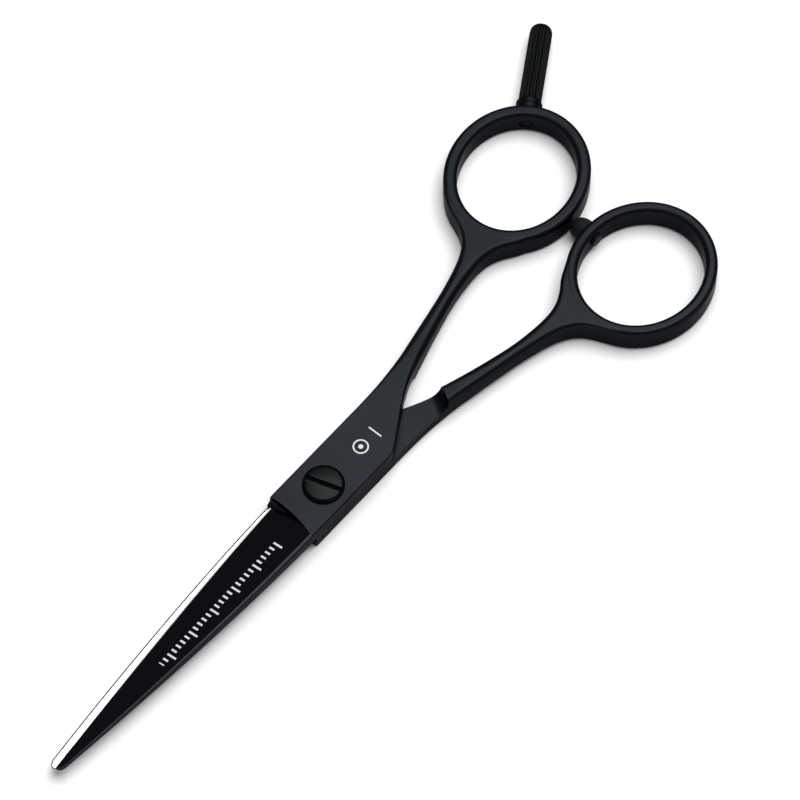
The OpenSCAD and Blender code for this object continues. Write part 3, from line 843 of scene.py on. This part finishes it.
# %% [markdown]
# ## Turned pieces
# The screw, nut, washers, bush, collar and bumper are turned on a lathe, so each is one
# profile: pairs of radius and height. Corners that a cutter would break are given as two
# points, which catches the light as a thin line.


# %% Lathe work
def lathe(name, profile, material, body, slot, nodes, axis=None, hole=None, cuts=(), steps=96,
          more=(), zone=None):
    piece = turned(name, [(0.0001, profile[0][1]), *profile, (0.0001, profile[-1][1])], steps)
    if hole:
        combine(piece, rod(hole, profile[0][1] - 1, profile[-1][1] + 1, steps), "DIFFERENCE")
    for cut in cuts:
        combine(piece, cut, "DIFFERENCE")
    if axis:
        place(piece, axis)
    piece.data.materials.clear()
    piece.data.materials.append(material)
    for extra in more:
        piece.data.materials.append(extra)
    for polygon in piece.data.polygons:
        polygon.use_smooth = True
        polygon.material_index = zone(polygon) if zone else 0
    weigh_normals(piece)
    hand_over(piece, body, slot, *nodes)
    return piece


def broken(radius, low, high, edge=0.05):
    return [(radius - edge, low), (radius, low + edge), (radius, high - edge), (radius - edge, high)]


HEAD_LOW = BODY_THICKNESS + 0.04
HEAD_TOP = HEAD_LOW + 0.6
RIDE_LOW = PIVOT_RIDE[0]
thread = []
for turn in range(4):
    z = 0.3 + 0.5 * turn
    thread += [(1.5, z), (1.5, z + 0.06), (1.26, z + 0.25), (1.26, z + 0.3)]
screw_profile = [(1.3, 0), *thread, (1.5, 2.3), (1.5, RIDE_LOW), (1.8, RIDE_LOW), (1.8, HEAD_LOW),
                 *broken(3.4, HEAD_LOW, HEAD_LOW + 0.28, 0.04)[:3], (3.38, HEAD_LOW + 0.29),
                 (2.92, HEAD_TOP - 0.02), (2.87, HEAD_TOP)]
slot_half = 0.85 / 2
slot = skin("slot", [[(x, y, z) for y, z in ((-slot_half, HEAD_TOP - 0.42), (slot_half, HEAD_TOP - 0.42),
                                            (slot_half, HEAD_TOP + 1), (-slot_half, HEAD_TOP + 1))]
                     for x in (-6, 6)])
place(slot, turned_by(108, "Z"))


def screw_zone(polygon):
    middle = polygon.center / MM
    if middle.z < HEAD_LOW or math.hypot(middle.x, middle.y) > 3.37:
        return 0
    # The head's chamfer gets the painted rim shade.
    if 0.2 < polygon.normal.z < 0.97:
        return 1
    # The slot's walls and floor get the painted slot shade.
    return 2 if middle.z < HEAD_TOP - 0.03 else 0


lathe("tension_screw", screw_profile, screw_black, "tension_screw", "screw_steel", ["pivot_screw"], cuts=[slot],
      steps=128, more=[rim_black, slot_black], zone=screw_zone)

pocket_floor = BODY_THICKNESS - 0.95
lathe("head_washer_turned", broken(2.8, pocket_floor + 0.01, pocket_floor + 0.31), nylon, "finger_side",
      "nylon",
      ["head_washer"], hole=1.88)
dish_low, dish_top = pocket_floor + 0.32, HEAD_LOW - 0.01
lathe("spring_washer_dished", [(2.75, dish_low), (2.75, dish_low + 0.25), (1.95, dish_top)], plain_steel,
      "finger_side", "spring_steel", ["spring_washer"], hole=1.95)
lathe("pivot_bush_turned", broken(2.16, PIVOT_RIDE[1] + 0.02, pocket_floor - 0.01), bronze,
      "finger_side", "bronze",
      ["pivot_bush"], hole=1.83)
lathe("ride_washer_cut", broken(3.6, PIVOT_RIDE[0], PIVOT_RIDE[1], 0.02), nylon, "thumb_side", "nylon",
      ["ride_washer"], hole=1.88)
key_holes = [place(rod(0.45, -1, 0.45, 32), moved(side * 2.35, 0, 0)) for side in (-1, 1)]
lathe("lock_nut_turned", broken(3.2, 0, 0.9, 0.08), screw_black, "thumb_side", "screw_steel", ["lock_nut"],
      hole=1.53, cuts=key_holes)
print("pivot pieces are turned")

# %% Finger rest's collar and stud, and the bumper
collar_top = REST_SEAT + 1.79
lathe("rest_collar_turned",
      [(2.2, REST_SEAT), (2.2, REST_SEAT + 0.75), (2.08, REST_SEAT + 0.87), (2.08, REST_SEAT + 1.0),
       (2.2, REST_SEAT + 1.12), (2.2, collar_top - 0.15), (2.05, collar_top)],
      screw_black, "finger_side", "screw_steel", ["rest_collar"], axis=REST_AXIS, hole=1.23)
stud_start = rest_mid - FINGER_BAND / 2 + 0.1
stud_profile = [(1.05, stud_start), (1.2, stud_start + 0.15)]
for turn in range(24):
    z = stud_start + 0.3 + 0.45 * turn
    stud_profile += [(1.2, z), (1.02, z + 0.2), (1.2, z + 0.4)]
stud_profile += [(1.2, stud_start + 11.5), (1.1, stud_start + 11.55)]
lathe("rest_stud_threaded", stud_profile, screw_black, "finger_side", "spring_steel", ["rest_stud"],
      axis=REST_AXIS,
      steps=48)

finger_long, finger_short = (half + FINGER_BAND / 2 for half in mid_band(FINGER_HOLE, FINGER_BAND))
finger_turn = math.radians(FINGER_TILT)
finger_top = math.hypot(finger_long * math.sin(finger_turn), finger_short * math.cos(finger_turn))
bumper_tip = MIDDLE_Y - RING_OFFSET + finger_top + 0.05
dome = BUMPER_SEAT - bumper_tip - 0.6
bumper_wall = THUMB_BAND - BUMPER_SINK
bumper_profile = [(1.0, -bumper_wall - 0.54), (1.15, -bumper_wall - 0.4), (1.15, -bumper_wall - 0.12),
                  (0.9, -bumper_wall - 0.12), (0.9, 0), (1.95, 0), (2.0, 0.05), (2.0, 0.6)]
bumper_profile += [(2.0 * math.cos(math.radians(a)),
                    0.6 + dome * math.sin(math.radians(a))) for a in range(6, 90, 6)]
lathe("ring_bumper", bumper_profile, rubber, "thumb_side", "rubber_black", ["bumper"], axis=BUMPER_AXIS,
      steps=72)
print("bumper stands", round(dome + 0.6, 2), "mm off the thumb ring")

# %% [markdown]
# ## Fluted finger rest
# The rest is a rod with fine ribs along it, so the finger doesn't slip. A rib follows the
# rod's side and curls in over its end, and the same rib repeats round the axis. That is a
# rule, so Geometry Nodes makes it: one path, swept to a rib, then copied round by its index.


# %% Rib tree
def make_rib_tree():
    tree = bpy.data.node_groups.new("ribs round a rod", "GeometryNodeTree")
    tree.interface.new_socket(name="Geometry", in_out="INPUT", socket_type="NodeSocketGeometry")
    for title, kind in (("Rib count", "NodeSocketInt"), ("Rib radius", "NodeSocketFloat"),
                        ("Finish", "NodeSocketMaterial")):
        tree.interface.new_socket(name=title, in_out="INPUT", socket_type=kind)
    tree.interface.new_socket(name="Geometry", in_out="OUTPUT", socket_type="NodeSocketGeometry")
    entry, leave = node(tree, "NodeGroupInput"), node(tree, "NodeGroupOutput")
    path = node(tree, "GeometryNodeMeshToCurve")
    round_profile = node(tree, "GeometryNodeCurvePrimitiveCircle")
    round_profile.inputs["Resolution"].default_value = 10
    sweep = node(tree, "GeometryNodeCurveToMesh")
    sweep.inputs["Fill Caps"].default_value = True
    points = node(tree, "GeometryNodePoints")
    index = node(tree, "GeometryNodeInputIndex")
    step = node(tree, "ShaderNodeMath", operation="DIVIDE")
    angle = node(tree, "ShaderNodeMath", operation="MULTIPLY")
    angle.inputs[1].default_value = math.tau
    turn = node(tree, "ShaderNodeCombineXYZ")
    copies = node(tree, "GeometryNodeInstanceOnPoints")
    real = node(tree, "GeometryNodeRealizeInstances")
    coat = node(tree, "GeometryNodeSetMaterial")
    for start, end in (
        (entry.outputs["Geometry"], path.inputs["Mesh"]),
        (entry.outputs["Rib radius"], round_profile.inputs["Radius"]),
        (path.outputs["Curve"], sweep.inputs["Curve"]),
        (round_profile.outputs["Curve"], sweep.inputs["Profile Curve"]),
        (entry.outputs["Rib count"], points.inputs["Count"]),
        (index.outputs["Index"], step.inputs[0]),
        (entry.outputs["Rib count"], step.inputs[1]),
        (step.outputs["Value"], angle.inputs[0]),
        (angle.outputs["Value"], turn.inputs["Z"]),
        (points.outputs[0], copies.inputs["Points"]),
        (sweep.outputs["Mesh"], copies.inputs["Instance"]),
        (turn.outputs["Vector"], copies.inputs["Rotation"]),
        (copies.outputs["Instances"], real.inputs["Geometry"]),
        (real.outputs["Geometry"], coat.inputs["Geometry"]),
        (entry.outputs["Finish"], coat.inputs["Material"]),
        (coat.outputs["Geometry"], leave.inputs["Geometry"]),
    ):
        tree.links.new(start, end)
    return tree


def set_inputs(modifier, **values):
    for item in modifier.node_group.interface.items_tree:
        key = item.name.replace(" ", "_")
        if item.item_type == "SOCKET" and item.in_out == "INPUT" and key in values:
            modifier[item.identifier] = values[key]


rib_tree = make_rib_tree()
print("rib tree has", len(rib_tree.nodes), "nodes")

# %% Make the rest
REST_RADIUS, REST_LENGTH, REST_TIP = 1.9, 15.4, 1.6
RIB_COUNT, RIB_RADIUS = 20, 0.26
CORE_DROP = 0.17
rest_start = REST_SEAT + 1.8


def rest_outline(inset, steps=8):
    corner_z = rest_start + REST_LENGTH - REST_TIP
    bend = REST_TIP - inset
    return [(REST_RADIUS - REST_TIP + bend * math.cos(math.radians(90 * k / steps)),
             corner_z + bend * math.sin(math.radians(90 * k / steps))) for k in range(steps + 1)]


core_profile = [(REST_RADIUS - CORE_DROP - 0.1, rest_start), (REST_RADIUS - CORE_DROP, rest_start + 0.1),
                *rest_outline(CORE_DROP)]
rest = turned("fluted_rest", [(0.0001, rest_start), *core_profile, (0.0001, core_profile[-1][1])], 96)
combine(rest, rod(1.23, rest_start - 1, rest_start + 9.75), "DIFFERENCE")
rest.data.materials.clear()
rest.data.materials.append(fluted_black)

path_points = [(REST_RADIUS - RIB_RADIUS, rest_start + 0.35)]
path_points += [p for p in rest_outline(RIB_RADIUS) if p[0] > REST_RADIUS - REST_TIP + 0.35]
path_mesh = bpy.data.meshes.new("rib_path")
path_mesh.from_pydata([(r * MM, 0, z * MM) for r, z in path_points],
                      [(k, k + 1) for k in range(len(path_points) - 1)], [])
ribs = bpy.data.objects.new("ribs", path_mesh)
bpy.context.scene.collection.objects.link(ribs)
rib_modifier = ribs.modifiers.new("ribs", "NODES")
rib_modifier.node_group = rib_tree
set_inputs(rib_modifier, Rib_count=RIB_COUNT, Rib_radius=RIB_RADIUS * MM, Finish=fluted_black)
plain_mesh(ribs)

joined = bmesh.new()
joined.from_mesh(rest.data)
joined.from_mesh(ribs.data)
joined.to_mesh(rest.data)
joined.free()
drop(ribs)
place(rest, REST_AXIS)
for polygon in rest.data.polygons:
    polygon.use_smooth = True
    polygon.material_index = 0
weigh_normals(rest)
hand_over(rest, "finger_side", "fluted_black", "rest_sleeve")
print("finger rest:", RIB_COUNT, "ribs,", len(rest.data.polygons), "faces")
